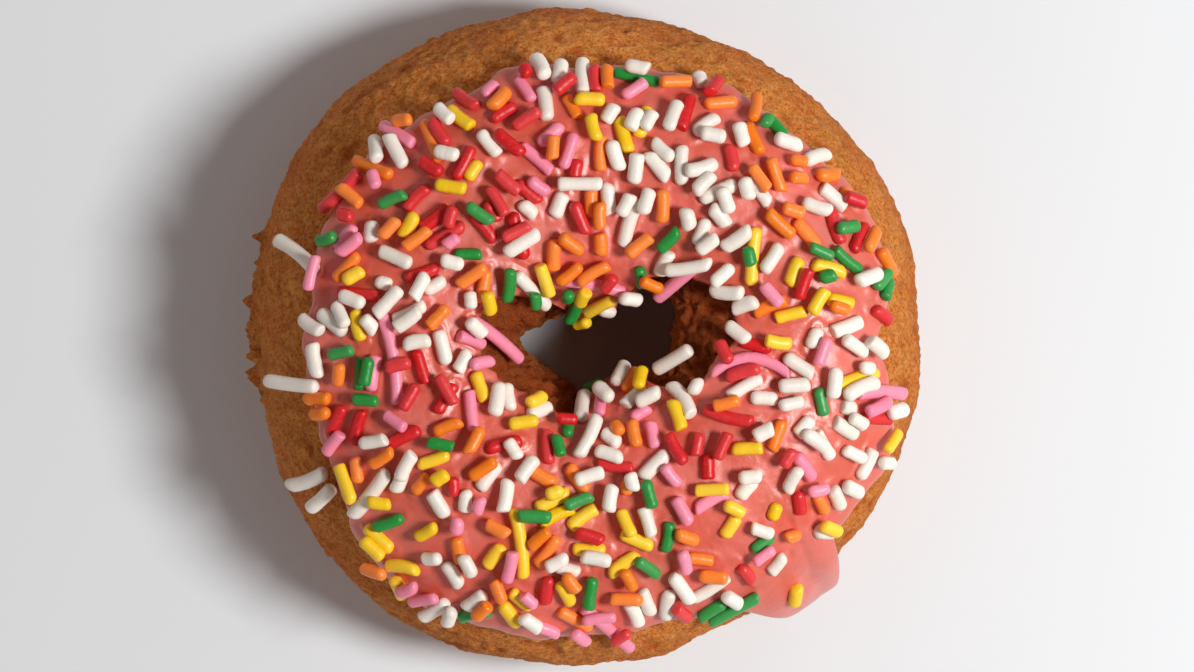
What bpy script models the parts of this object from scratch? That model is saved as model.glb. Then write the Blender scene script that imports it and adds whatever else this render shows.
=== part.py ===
"""Sprinkle frosted doughnut: a fried ring of cake under a skin of icing with rod sprinkles.

Metres, +Z up. It stands on z = 0, and the middle of its outline is at x = 0, y = 0.
Angles go anticlockwise about the hole, from +X. A turn goes round the ring's section:
0 at the rim, a quarter at the top, a half at the neck of the hole.
"""

import math

import bmesh
import bpy
import numpy as np
from mathutils import Matrix, Vector
from mathutils.bvhtree import BVHTree

MM = 0.001
FULL = 2 * math.pi

# Plan of the rim: an ellipse whose middle lies to the left of the hole's and above it
RIM_HALF_WIDTH = 0.0445
RIM_HALF_DEPTH = 0.0437
RIM_LEFT = 0.0031
RIM_UP = 0.0007

# Swells and flats of the rim: angle and half width in degrees, height in mm
RIM_SWELLS = ((338, 24, 1.5), (242, 18, 1.3), (22, 16, 1.1),
              (138, 16, 0.6), (182, 22, -1.3), (85, 14, -0.9))

# Neck of the hole: distances from its middle, in mm, every 15 degrees
NECK_MM = (8.9, 9.7, 10.4, 8.9, 6.6, 5.5, 5.0, 4.8, 5.1, 5.7, 6.3, 7.9,
           10.7, 9.3, 8.0, 7.3, 7.2, 7.4, 7.4, 6.7, 6.9, 7.4, 7.8, 8.4)

# Section of the ring
HEIGHT = 0.0320
WAIST = 0.0130
PRESSED_SHARE = 0.115
CROWN_SHARE = 0.46
OUTER_POWER = 1.9
INNER_POWER = 2.6
UNDER_POWER = 2.35

# Height of the hole's narrowest place, which is highest on the right
NECK_HEIGHT = 0.0180
NECK_TILT = 0.0065
NECK_HIGH = math.radians(-5)

# Slow swells of the crust, as waves that cross it
SWELLS = 6
SWELL_HEIGHT = 0.00045
SWELL_LENGTH = 0.034
SWELL_TURN = 2.4
SWELL_LEAN = 0.7

# Crease that runs out from the hole
CREASE_ANGLE = math.radians(252)
CREASE_DEPTH = 0.0016
CREASE_HALF_WIDTH = 0.0012
CREASE_END = 0.0125

# Crags of torn crust on the left of the rim: angle in degrees, height and width in mm
CRAGS = ((163.5, 15.0, 4.0), (168.0, 12.5, 5.0), (171.0, 17.5, 3.6), (174.0, 14.0, 4.2),
         (178.0, 11.5, 5.4), (181.0, 16.0, 4.6), (182.5, 9.5, 4.0), (185.8, 13.0, 5.4),
         (189.0, 17.0, 3.6), (119.5, 13.5, 2.4))
CRAG_STANDS_OUT = 0.2

# Edges of the icing: distances from the middle of the hole, in mm, every 10 degrees.
# Where the inner one is less than the neck's, the icing runs over into the hole.
ICING_OUTER_MM = (35.9, 37.7, 38.3, 37.7, 36.7, 35.8, 36.5, 36.3, 36.0, 35.6, 35.9, 37.0,
                  36.4, 37.4, 38.6, 38.9, 38.8, 38.3, 38.5, 38.6, 38.8, 39.4, 41.0, 42.2,
                  41.4, 39.8, 39.0, 38.3, 37.8, 38.2, 39.6, 39.8, 39.2, 39.4, 39.9, 37.9)
ICING_INNER_MM = (17.4, 17.8, 17.4, 15.4, 13.5, 11.4, 9.0, 6.4, 4.2, 3.0, 2.6, 2.6,
                  3.0, 4.6, 7.6, 11.8, 15.4, 16.9, 16.9, 16.5, 15.3, 13.9, 12.7, 12.0,
                  11.9, 11.0, 8.4, 6.0, 5.0, 4.6, 5.0, 6.4, 9.4, 13.2, 14.6, 15.4)
ICING_THICK = 0.0011
ICING_GAP = 0.0004
ICING_EDGE = math.radians(4.5)
ICING_EDGE_THICK = 0.4
ICING_OVER_NECK = math.radians(14)
ICING_OVER_START = 0.003

# The run of icing that hangs over the rim
DRIP_ANGLE = math.radians(311.0)
DRIP_WIDTH_BEFORE = math.radians(14)
DRIP_WIDTH_AFTER = math.radians(8.5)
DRIP_THICK = 0.0042
DRIP_FALL = math.radians(52)
DRIP_LENGTH = math.radians(50)
DRIP_FLATNESS = 1.4
DRIP_FLARE = 1.5

# Sprinkles: rods of sugar
SPRINKLE_RADIUS = 0.00095
SPRINKLE_SIDES = 6
SPRINKLE_END = 0.0004
SPRINKLE_SUNK = 0.00035
SPRINKLE_COUNT = 520
SOLID_SPRINKLES = 215
SPRINKLE_SEED = 11
STEEPEST = 0.75
LOWEST_BED = 0.3
LENGTHS_MM = ((0.03, 5.2, 7.0), (0.30, 4.0, 5.0), (0.44, 3.0, 4.0), (0.23, 2.1, 3.0))
AXIS_POINTS = 5
LEAST_BOW = 0.0001
CLOSEST = 0.0016
NEAR = 0.012
NEAREST_HOLE = 0.004
FARTHEST = 0.045
EDGE_MARGIN = 0.0002
BED_STEPS = 3
LIFT_STEP = 0.0003
LIFTS = 6
LOWER_END = 0.4
TRIES = 40

# Sprinkles that stand out, as the plan of their two ends from the middle of the hole, and
# how far they bow to the left of that line, in mm
PLACED_MM = (
    (7.5, -4.6, 12.1, -1.3, 0), (9.4, -6.2, 12.0, -10.2, 0.5), (0.9, -6.1, 0.0, -10.4, 0),
    (6.3, -9.3, 3.8, -10.8, 0), (-11.7, 8.9, -7.7, 4.9, 0), (-16.9, -4.4, -15.3, -8.4, 0),
    (-8.0, 32.9, -7.3, 28.5, 0), (2.0, 28.9, 3.6, 24.3, 0), (11.7, 31.6, 10.4, 27.2, 0),
    (-10.9, 25.2, -6.7, 21.9, 0), (4.9, 18.3, 2.7, 12.3, 0), (18.9, 28.0, 20.7, 24.0, 0),
    (12.7, 18.3, 17.5, 20.3, 0), (19.1, 20.9, 21.7, 17.6, 0), (21.3, 16.5, 24.9, 13.2, 0),
    (29.7, 16.9, 31.1, 12.3, 0),
    (-28.9, 3.6, -26.8, -8.7, 0.6), (-17.3, 2.9, -11.3, -3.5, 0), (14.3, -4.8, 24.4, -4.8, 2.2),
    (20.1, 14.7, 19.6, 6.9, 0), (-11.6, -22.1, -10.3, -31.2, 0), (-5.3, 8.3, 2.7, 6.7, 0),
    (7.1, 6.3, 12.4, 9.9, 0), (-42.3, 12.9, -37.4, 8.8, 0), (-43.8, -5.3, -37.2, -6.0, 0),
    (-40.8, -19.1, -35.9, -17.2, 0), (-38.2, -22.1, -35.0, -19.2, 0), (-2.6, -34.8, 3.5, -40.0, 0),
    (13.7, -36.5, 20.1, -33.3, 0), (-32.7, -23.1, -27.9, -17.1, 0), (-0.3, 26.5, -0.3, 22.0, 0),
    (-1.5, 19.9, -1.5, 16.0, 0), (-6.0, 20.5, -0.1, 20.5, 0), (33.2, -7.3, 39.2, -7.3, 0.4),
    (11.3, -34.0, 16.4, -30.7, 0), (-36.4, 16.5, -31.6, 21.6, 0), (-32.1, 22.9, -27.3, 21.1, 0),
    (-23.3, 28.3, -21.2, 23.2, 0), (-2.9, 36.2, -2.9, 31.6, 0), (-1.9, -5.7, -2.5, -11.3, 0),
    (25.2, -31.9, 25.2, -35.2, 0))

# Barer icing: plan of its middle from the middle of the hole and its radius, in mm, and the
# share of sprinkles that it keeps
BARE_MM = ((-19.5, -26.0, 8.0, 0.12), (20.0, -24.0, 8.5, 0.15), (7.0, 31.0, 6.0, 0.45),
           (31.0, -16.0, 7.0, 0.35), (30.0, 1.0, 6.0, 0.5), (27.0, -32.0, 6.0, 0.2))

# Faces of the meshes
COLUMNS = 68
FINE_COLUMNS = 2.6
FINE_HALF_WIDTH = math.radians(11)
TOP_ROWS = 10
UNDER_ROWS = 8
ICING_ROWS_PAST = 1
ROW_SPACE = math.radians(0.7)
COLUMN_STEPS = 1440
SLOPE_STEP = 0.02
SMALLEST_EDGE = 0.000001
SHARP_ANGLE = math.radians(50)


def ring_value(values_mm, angle):
    """A smooth closed curve through equally spaced values, in metres, at angles in radians."""
    values = np.asarray(values_mm, float) * MM
    place = np.asarray(angle, float) / FULL % 1.0 * len(values)
    step = np.floor(place).astype(int)
    part = place - step
    a, b, c, d = (values[(step + k) % len(values)] for k in (-1, 0, 1, 2))
    cubic = 2 * a - 5 * b + 4 * c - d + part * (3 * (b - c) + d - a)
    return b + part * (c - a + part * cubic) / 2


def rim_distance(angle):
    """How far the rim is from the hole's middle, along a ray to the ellipse and its swells."""
    across, along = np.cos(angle), np.sin(angle)
    flat = (across / RIM_HALF_WIDTH) ** 2 + (along / RIM_HALF_DEPTH) ** 2
    lean = along * RIM_UP / RIM_HALF_DEPTH ** 2 - across * RIM_LEFT / RIM_HALF_WIDTH ** 2
    inside = 1 - (RIM_LEFT / RIM_HALF_WIDTH) ** 2 - (RIM_UP / RIM_HALF_DEPTH) ** 2
    distance = (lean + np.sqrt(lean ** 2 + flat * inside)) / flat
    for middle, width, height in RIM_SWELLS:
        away = (np.degrees(angle) - middle + 180) % 360 - 180
        distance = distance + height * MM * np.exp(-(away / width) ** 2)
    return distance


def hole_middle():
    """Where the hole's middle is, so that the outline's box is centred on the origin."""
    angle = np.linspace(0, FULL, 720, endpoint=False)
    rim = rim_distance(angle)
    x, y = rim * np.cos(angle), rim * np.sin(angle)
    return -(x.max() + x.min()) / 2, -(y.max() + y.min()) / 2


HOLE_X, HOLE_Y = hole_middle()


def swell(x, y, z):
    """Slow unevenness of the crust, between about -1 and 1."""
    total = 0
    for k in range(SWELLS):
        finer = 1 + 0.4 * k
        along = x * math.cos(SWELL_TURN * k) + y * math.sin(SWELL_TURN * k) + SWELL_LEAN * z
        total = total + np.sin(along * FULL * finer / SWELL_LENGTH + k) / finer
    return total / 2


def section_sizes(angle):
    """Radii of the neck, the crown and the rim at each angle."""
    rim, neck = rim_distance(angle), ring_value(NECK_MM, angle)
    return neck, neck + CROWN_SHARE * (rim - neck), rim


def crust(angle, turn):
    """Points on the skin of the cake."""
    neck, crown, rim = section_sizes(angle)
    side, up = np.cos(turn), np.sin(turn)
    power = np.where(up < 0, UNDER_POWER, np.where(side > 0, OUTER_POWER, INNER_POWER))
    reach = np.where(side > 0, rim - crown, crown - neck)
    radius = crown + np.sign(side) * reach * np.abs(side) ** (2 / power)
    neck_height = NECK_HEIGHT + NECK_TILT * np.cos(angle - NECK_HIGH)
    waist = np.where(side > 0, WAIST, neck_height)
    rise = np.where(up > 0, HEIGHT - waist, waist * (1 + PRESSED_SHARE))
    z = waist + np.sign(up) * rise * np.abs(up) ** (2 / power)
    x, y = radius * np.cos(angle), radius * np.sin(angle)
    across = np.abs(np.angle(np.exp(1j * (angle - CREASE_ANGLE)))) * radius / CREASE_HALF_WIDTH
    shallow = np.clip((CREASE_END - radius) / (CREASE_END - neck), 0, 1)
    out = SWELL_HEIGHT * swell(x, y, z) - CREASE_DEPTH * shallow * np.exp(-across ** 2)
    radius = radius + out * side
    z = np.maximum(z + out * up, 0)
    return np.stack([HOLE_X + radius * np.cos(angle), HOLE_Y + radius * np.sin(angle), z], -1)


def crust_out(angle, turn):
    """The direction that faces away from the cake at each point of its skin."""
    round_hole = crust(angle + SLOPE_STEP, turn) - crust(angle - SLOPE_STEP, turn)
    round_section = crust(angle, turn + SLOPE_STEP) - crust(angle, turn - SLOPE_STEP)
    out = np.cross(round_hole, round_section)
    return out / np.linalg.norm(out, axis=-1, keepdims=True)


def turn_at(angle, radius):
    """The turn, over the top, at which the skin is this far from the hole's middle."""
    neck, crown, rim = section_sizes(angle)
    outside = radius > crown
    share = np.abs(radius - crown) / np.where(outside, rim - crown, crown - neck)
    quarter = np.arccos(np.clip(share, 0, 1) ** (np.where(outside, OUTER_POWER, INNER_POWER) / 2))
    return np.where(outside, quarter, math.pi - quarter)


def drip(angle):
    """1 in the run of icing over the rim, 0 away from it."""
    off = np.angle(np.exp(1j * (angle - DRIP_ANGLE)))
    off = np.abs(off) / np.where(off < 0, DRIP_WIDTH_BEFORE, DRIP_WIDTH_AFTER)
    return np.clip(1 - off ** DRIP_FLATNESS, 0, 1) ** DRIP_FLARE


def icing_edges(angle):
    """Turns of the icing's outer and inner edges."""
    outer = turn_at(angle, ring_value(ICING_OUTER_MM, angle)) - DRIP_FALL * drip(angle)
    wanted = ring_value(ICING_INNER_MM, angle)
    over = np.clip((section_sizes(angle)[0] - wanted) / ICING_OVER_START, 0, 1)
    return outer, turn_at(angle, wanted) + ICING_OVER_NECK * over


def icing_thickness(angle, turn, outer, inner):
    """Thickness of the icing, rounded off at its two edges and beaded at the end of the drip."""
    near = np.clip(np.minimum(turn - outer, inner - turn) / ICING_EDGE, 0, 1)
    rounded = ICING_EDGE_THICK + (1 - ICING_EDGE_THICK) * np.sqrt(1 - (1 - near) ** 2)
    bead = drip(angle) * np.clip(1 - (turn - outer) / DRIP_LENGTH, 0, 1)
    return (ICING_THICK + (DRIP_THICK - ICING_THICK) * bead) * rounded


def bed(x, y):
    """Top of the icing, or of the bare crust, under a place in plan, and which way it faces."""
    from_x, from_y = x - HOLE_X, y - HOLE_Y
    angle, radius = np.arctan2(from_y, from_x), np.hypot(from_x, from_y)
    outer, inner = icing_edges(angle)
    wanted = radius
    for _ in range(BED_STEPS):
        turn = np.maximum(turn_at(angle, wanted), np.minimum(outer, LOWEST_BED))
        iced = (turn > outer) & (turn < inner)
        lift = ICING_GAP + np.where(iced, icing_thickness(angle, turn, outer, inner), 0)
        out = crust_out(angle, turn)
        point = crust(angle, turn) + lift[..., None] * out
        reached = np.hypot(point[..., 0] - HOLE_X, point[..., 1] - HOLE_Y)
        wanted = wanted + radius - reached
    return point, out, iced


def columns():
    """Angles of the columns of faces, closer together at the drip and at the crease."""
    angle = np.linspace(0, FULL, COLUMN_STEPS)
    weight = np.ones_like(angle)
    for place in (DRIP_ANGLE, CREASE_ANGLE):
        off = np.angle(np.exp(1j * (angle - place))) / FINE_HALF_WIDTH
        weight = weight + FINE_COLUMNS * np.exp(-off ** 2)
    grown = np.concatenate([[0], np.cumsum((weight[1:] + weight[:-1]) / 2)])
    return np.interp(np.arange(COLUMNS) / COLUMNS, grown / grown[-1], angle)


def ring_object(name, points, collection):
    """A torus whose grid of points, columns by rows, is laid on the given points."""
    bpy.ops.mesh.primitive_torus_add(
        major_segments=points.shape[0], minor_segments=points.shape[1])
    obj = bpy.context.object
    obj.name = obj.data.name = name
    obj.data.vertices.foreach_set("co", points.reshape(-1).astype(np.float32))
    obj.data.update()
    for old in obj.users_collection:
        old.objects.unlink(obj)
    collection.objects.link(obj)
    return obj


def make_dough(collection):
    top = np.linspace(0, math.pi, TOP_ROWS, endpoint=False)
    under = np.linspace(math.pi, FULL, UNDER_ROWS, endpoint=False)
    angle, turn = np.meshgrid(columns(), np.concatenate([top, under]), indexing="ij")
    return ring_object("dough", crust(angle, turn), collection)


def make_crags(collection):
    """Low lumps half sunk in the rim."""
    for degrees, height_mm, width_mm in CRAGS:
        angle = math.radians(degrees)
        turn = math.asin(min(1, abs(height_mm * MM - WAIST) / (HEIGHT - WAIST)))
        turn = math.copysign(turn, height_mm * MM - WAIST)
        out = Vector(crust_out(angle, turn))
        at = Vector(crust(angle, turn)) - out * (0.5 - CRAG_STANDS_OUT) * width_mm * MM
        bpy.ops.mesh.primitive_ico_sphere_add(
            subdivisions=1, radius=width_mm * MM / 2, location=at, rotation=(angle, turn, 0))
        move_to(bpy.context.object, collection)


def make_icing(collection):
    """The skin of icing: its top from outer to inner edge, then its underside back.

    Its rows are those of the cake, and the ones past an edge lie close together along it.
    """
    rows = np.arange(-ICING_ROWS_PAST, TOP_ROWS + ICING_ROWS_PAST + 1)
    angle, row = np.meshgrid(columns(), np.concatenate([rows, rows[::-1]]), indexing="ij")
    outer, inner = icing_edges(angle)
    lowest = outer + (row - rows[0]) * ROW_SPACE
    highest = inner - (rows[-1] - row) * ROW_SPACE
    turn = np.clip(row * math.pi / TOP_ROWS, lowest, highest)
    lift = np.full(turn.shape, ICING_GAP)
    top = np.s_[:, :len(rows)]
    lift[top] += icing_thickness(angle, turn, outer, inner)[top]
    points = crust(angle, turn) + lift[..., None] * crust_out(angle, turn)
    return ring_object("icing", points, collection)


def bend_axis(ends, sideways):
    """Points along the axis of each sprinkle, which bows sideways in its middle."""
    along = np.linspace(0, 1, AXIS_POINTS)[:, None]
    first, second = ends[..., 0:1, :], ends[..., 1:2, :]
    return first + along * (second - first) + 4 * along * (1 - along) * sideways[..., None, :]


def lay(start, end, bow):
    """Axis and upward direction of sprinkles that lie on their bed between two places in plan."""
    spots = np.stack([start, end, (start + end) / 2], -2)
    points, out, iced = bed(spots[..., 0], spots[..., 1])
    sunk = np.where(iced, SPRINKLE_SUNK, 0)[..., None]
    points = points + out * (SPRINKLE_RADIUS - sunk)
    ends, up = points[..., :2, :], out[..., 2, :]
    run = np.linalg.norm(end - start, axis=-1)
    fall = ends[..., 0, 2] - ends[..., 1, 2]
    ends[..., 1, 2] += np.maximum(fall - STEEPEST * run, 0)
    ends[..., 0, 2] += np.maximum(-fall - STEEPEST * run, 0)
    crown = ((points[..., 2, :] - ends.mean(-2)) * up).sum(-1)
    ends = ends + (np.maximum(crown, 0)[..., None] * up)[..., None, :]
    sideways = np.cross(up, ends[..., 1, :] - ends[..., 0, :])
    sideways = sideways / np.linalg.norm(sideways, axis=-1, keepdims=True)
    return bend_axis(ends, sideways * np.asarray(bow)[..., None]), up


def settle(axis, up, taken):
    """The sprinkle's axis, lifted so that it rests on those already there, or None."""
    along = np.linspace(0, 1, AXIS_POINTS)[:, None]
    near = taken[np.linalg.norm(taken - axis[2], axis=1) < NEAR]
    for lift in np.arange(LIFTS) * LIFT_STEP:
        for first, second in ((lift, LOWER_END * lift), (LOWER_END * lift, lift), (lift, lift)):
            moved = axis + (first + (second - first) * along) * up
            apart = np.linalg.norm(moved[:, None] - near[None], axis=2)
            if not len(near) or apart.min() > CLOSEST:
                return moved
    return None


def sprinkle_lengths(draw):
    """Lengths from the longest down, in the shares that a shaken jar gives."""
    drawn = [draw.uniform(low, high, round(share * SPRINKLE_COUNT))
             for share, low, high in LENGTHS_MM]
    return -np.sort(-np.concatenate(drawn)) * MM


def candidates(draw, length):
    """The places in plan and the headings to try for each length, and which may be used."""
    shape = (len(length), TRIES)
    angle = draw.uniform(0, FULL, shape)
    radius = np.sqrt(draw.uniform(NEAREST_HOLE ** 2, FARTHEST ** 2, shape))
    heading = draw.uniform(0, math.pi, shape)
    chance = draw.random(shape)
    inner = np.maximum(ring_value(ICING_INNER_MM, angle), ring_value(NECK_MM, angle) - MM)
    allowed = (radius > inner) & (radius < ring_value(ICING_OUTER_MM, angle) - EDGE_MARGIN)
    x, y = radius * np.cos(angle), radius * np.sin(angle)
    for bare_x, bare_y, size, kept in BARE_MM:
        inside = np.hypot(x - bare_x * MM, y - bare_y * MM) < size * MM
        allowed &= ~inside | (chance < kept)
    middle = np.stack([HOLE_X + x, HOLE_Y + y], -1)
    half = np.stack([np.cos(heading), np.sin(heading)], -1) * length[:, None, None] / 2
    return middle, half, allowed


def scatter_sprinkles():
    """Each sprinkle's axis and upward direction: the placed ones, then from the longest down."""
    draw = np.random.default_rng(SPRINKLE_SEED)
    placed = np.array(PLACED_MM) * MM
    hole = np.array([HOLE_X, HOLE_Y])
    axes, ups = lay(hole + placed[:, :2], hole + placed[:, 2:4], placed[:, 4])
    laid, taken = [], np.zeros((0, 3))
    for axis, up in zip(axes, ups):
        rested = settle(axis, up, taken)
        laid.append((axis if rested is None else rested, up))
        taken = np.concatenate([taken, laid[-1][0]])

    length = sprinkle_lengths(draw)
    middle, half, allowed = candidates(draw, length)
    axes, ups = lay(middle - half, middle + half, np.zeros(allowed.shape))
    reached = np.linalg.norm(axes[..., -1, :] - axes[..., 0, :], axis=-1)
    half = half * (length[:, None] / reached)[..., None]
    axes, ups = lay(middle - half, middle + half, np.zeros(allowed.shape))
    for k in range(len(length)):
        for j in np.flatnonzero(allowed[k]):
            rested = settle(axes[k, j], ups[k, j], taken)
            if rested is not None:
                laid.append((rested, ups[k, j]))
                taken = np.concatenate([taken, rested])
                break
    return laid


def lifted_clear(axis, up, dough):
    """The axis, lifted where the sprinkle would come too near the cake."""
    nearest = min(dough.find_nearest(Vector(point))[3] for point in axis)
    return axis + max(0, SPRINKLE_RADIUS + ICING_GAP - nearest) * up


def make_sprinkle(axis, up, collection):
    """A six-sided rod with low pointed ends, laid along its axis."""
    ends = Vector(axis[0]), Vector(axis[-1])
    length = (ends[1] - ends[0]).length
    mesh = bmesh.new()
    bmesh.ops.create_cone(mesh, segments=SPRINKLE_SIDES, cap_ends=True, radius1=SPRINKLE_RADIUS,
                          radius2=SPRINKLE_RADIUS, depth=length - 2 * SPRINKLE_END)
    caps = [face for face in mesh.faces if len(face.verts) == SPRINKLE_SIDES]
    poked = bmesh.ops.poke(mesh, faces=caps)
    for vertex in poked["verts"]:
        vertex.co.z += math.copysign(SPRINKLE_END, vertex.co.z)
    bow = Vector(axis[2]) - (ends[0] + ends[1]) / 2
    if bow.length > LEAST_BOW:
        sides = [edge for edge in mesh.edges
                 if abs(edge.verts[0].co.z - edge.verts[1].co.z) > length / 2]
        bmesh.ops.subdivide_edges(mesh, edges=sides, cuts=2)
    forward = (ends[1] - ends[0]).normalized()
    sideways = Vector(up).cross(forward).normalized()
    upward = forward.cross(sideways)
    turn = Matrix((sideways, upward, forward)).transposed().to_4x4()
    mesh.transform(Matrix.Translation((ends[0] + ends[1]) / 2) @ turn)
    for vertex in mesh.verts:
        along = (vertex.co - ends[0]).dot(forward) / length
        vertex.co += bow * max(0.0, 4 * along * (1 - along))
    data = bpy.data.meshes.new("sprinkle")
    mesh.to_mesh(data)
    mesh.free()
    obj = bpy.data.objects.new("sprinkle", data)
    collection.objects.link(obj)


def move_to(obj, collection):
    for old in obj.users_collection:
        old.objects.unlink(obj)
    collection.objects.link(obj)


def join_all(obj, collection):
    """Fuses every object of the collection to this one, and removes the collection."""
    union = obj.modifiers.new("join", "BOOLEAN")
    union.operation = "UNION"
    union.operand_type = "COLLECTION"
    union.collection = collection
    union.solver = "MANIFOLD"
    graph = bpy.context.evaluated_depsgraph_get()
    joined = bpy.data.meshes.new_from_object(obj.evaluated_get(graph))
    obj.modifiers.clear()
    obj.data = joined
    joined.name = obj.name
    for piece in list(collection.objects):
        bpy.data.objects.remove(piece)
    bpy.data.collections.remove(collection)
    keep_outer_shell(joined)


def keep_outer_shell(data):
    """Drops loose scraps and fills sealed hollows: the largest shell is all that stays."""
    mesh = bmesh.new()
    mesh.from_mesh(data)
    left, shells = set(mesh.verts), []
    while left:
        shell, edge = set(), [left.pop()]
        while edge:
            vertex = edge.pop()
            shell.add(vertex)
            for link in vertex.link_edges:
                other = link.other_vert(vertex)
                if other in left:
                    left.remove(other)
                    edge.append(other)
        shells.append(shell)
    largest = max(shells, key=len)
    scraps = [vertex for vertex in mesh.verts if vertex not in largest]
    bmesh.ops.delete(mesh, geom=scraps, context="VERTS")
    bmesh.ops.remove_doubles(mesh, verts=mesh.verts, dist=SMALLEST_EDGE)
    mesh.to_mesh(data)
    mesh.free()


def finish(obj, name, colour, roughness):
    """One plain material and smooth shading over the round parts."""
    material = bpy.data.materials.new(name)
    material.use_nodes = True
    shader = material.node_tree.nodes["Principled BSDF"]
    shader.inputs["Base Color"].default_value = (*colour, 1)
    shader.inputs["Roughness"].default_value = roughness
    shader.inputs["Metallic"].default_value = 0
    obj.data.materials.clear()
    obj.data.materials.append(material)
    obj.data.shade_smooth()
    obj.data.set_sharp_from_angle(angle=SHARP_ANGLE)


def new_collection(name):
    collection = bpy.data.collections.new(name)
    bpy.context.scene.collection.children.link(collection)
    return collection


def main():
    for obj in list(bpy.data.objects):
        bpy.data.objects.remove(obj)
    doughnut = new_collection("sprinkle frosted doughnut")

    dough = make_dough(doughnut)
    crags = new_collection("crags")
    make_crags(crags)
    join_all(dough, crags)

    icing = make_icing(doughnut)
    sprinkles = new_collection("sprinkles")
    dough_faces = BVHTree.FromObject(dough, bpy.context.evaluated_depsgraph_get())
    for axis, up in scatter_sprinkles()[:SOLID_SPRINKLES]:
        make_sprinkle(lifted_clear(axis, up, dough_faces), up, sprinkles)
    join_all(icing, sprinkles)

    finish(dough, "crust", (0.42, 0.19, 0.06), 0.8)
    finish(icing, "icing", (0.68, 0.16, 0.14), 0.35)


main()
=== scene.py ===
"""Looks of the sprinkle frosted doughnut: crust, icing, sprinkles and a plain studio.

Metres, +Z up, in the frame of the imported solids: it stands on z = 0. Angles go anticlockwise
about the hole, from +X. A turn goes round the ring's section: 0 at the rim, a quarter at the
top, a half at the neck of the hole.
"""

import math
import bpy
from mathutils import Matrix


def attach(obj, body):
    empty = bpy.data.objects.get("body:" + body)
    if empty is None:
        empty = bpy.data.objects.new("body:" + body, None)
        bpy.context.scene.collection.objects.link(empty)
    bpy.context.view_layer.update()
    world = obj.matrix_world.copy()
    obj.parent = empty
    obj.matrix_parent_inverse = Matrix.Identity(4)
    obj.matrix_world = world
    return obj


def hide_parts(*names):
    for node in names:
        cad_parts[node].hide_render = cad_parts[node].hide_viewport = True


bl_info = {
    "name": "Sprinkle Frosted Doughnut",
    "version": (1, 0, 0),
    "blender": (4, 5, 0),
    "location": "View3D > Sidebar > Doughnut",
    "description": "Builds a fried ring of cake with icing and rod sprinkles",
    "category": "Object",
}

from functools import cache

import bpy
import numpy as np
from bpy.props import FloatProperty, FloatVectorProperty, IntProperty, PointerProperty
from bpy.types import Operator, Panel, PropertyGroup
from mathutils import Vector, noise
from mathutils.kdtree import KDTree

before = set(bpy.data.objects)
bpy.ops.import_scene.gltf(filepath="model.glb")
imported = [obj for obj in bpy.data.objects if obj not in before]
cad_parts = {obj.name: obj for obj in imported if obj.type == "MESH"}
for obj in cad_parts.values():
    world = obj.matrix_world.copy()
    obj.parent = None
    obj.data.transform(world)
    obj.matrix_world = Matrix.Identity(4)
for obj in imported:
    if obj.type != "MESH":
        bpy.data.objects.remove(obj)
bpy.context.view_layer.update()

MM = 0.001
FULL = 2 * math.pi

# Plan of the rim: an ellipse whose middle lies to the left of the hole's and above it
RIM_HALF_WIDTH = 0.0445
RIM_HALF_DEPTH = 0.0437
RIM_LEFT = 0.0031
RIM_UP = 0.0007

# Swells and flats of the rim: angle and half width in degrees, height in mm
RIM_SWELLS = ((338, 24, 1.5), (242, 18, 1.3), (22, 16, 1.1),
              (138, 16, 0.6), (182, 22, -1.3), (85, 14, -0.9))

# Neck of the hole: distances from its middle, in mm, every 15 degrees
NECK_MM = (8.9, 9.7, 10.4, 8.9, 6.6, 5.5, 5.0, 4.8, 5.1, 5.7, 6.3, 7.9,
           10.7, 9.3, 8.0, 7.3, 7.2, 7.4, 7.4, 6.7, 6.9, 7.4, 7.8, 8.4)

# Section of the ring
HEIGHT = 0.0320
WAIST = 0.0130
PRESSED_SHARE = 0.115
CROWN_SHARE = 0.46
OUTER_POWER = 1.9
INNER_POWER = 2.6
UNDER_POWER = 2.35

# Height of the hole's narrowest place, which is highest on the right
NECK_HEIGHT = 0.0180
NECK_TILT = 0.0065
NECK_HIGH = math.radians(-5)

# Slow swells of the crust, as waves that cross it
SWELLS = 6
SWELL_HEIGHT = 0.00045
SWELL_LENGTH = 0.034
SWELL_TURN = 2.4
SWELL_LEAN = 0.7

# Crease that runs out from the hole
CREASE_ANGLE = math.radians(252)
CREASE_DEPTH = 0.0016
CREASE_HALF_WIDTH = 0.0012
CREASE_END = 0.0125

# Crags of torn crust on the left of the rim: angle in degrees, height and width in mm
CRAGS = ((163.5, 15.0, 4.0), (168.0, 12.5, 5.0), (171.0, 17.5, 3.6), (174.0, 14.0, 4.2),
         (178.0, 11.5, 5.4), (181.0, 16.0, 4.6), (182.5, 9.5, 4.0), (185.8, 13.0, 5.4),
         (189.0, 17.0, 3.6), (119.5, 13.5, 2.4))

# Edges of the icing: distances from the middle of the hole, in mm, every 10 degrees.
# Where the inner one is less than the neck's, the icing runs over into the hole.
ICING_OUTER_MM = (35.9, 37.7, 38.3, 37.7, 36.7, 35.8, 36.5, 36.3, 36.0, 35.6, 35.9, 37.0,
                  36.4, 37.4, 38.6, 38.9, 38.8, 38.3, 38.5, 38.6, 38.8, 39.4, 41.0, 42.2,
                  41.4, 39.8, 39.0, 38.3, 37.8, 38.2, 39.6, 39.8, 39.2, 39.4, 39.9, 37.9)
ICING_INNER_MM = (17.4, 17.8, 17.4, 15.4, 13.5, 11.4, 9.0, 6.4, 4.2, 3.0, 2.6, 2.6,
                  3.0, 4.6, 7.6, 11.8, 15.4, 16.9, 16.9, 16.5, 15.3, 13.9, 12.7, 12.0,
                  11.9, 11.0, 8.4, 6.0, 5.0, 4.6, 5.0, 6.4, 9.4, 13.2, 14.6, 15.4)
ICING_THICK = 0.0011
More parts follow.
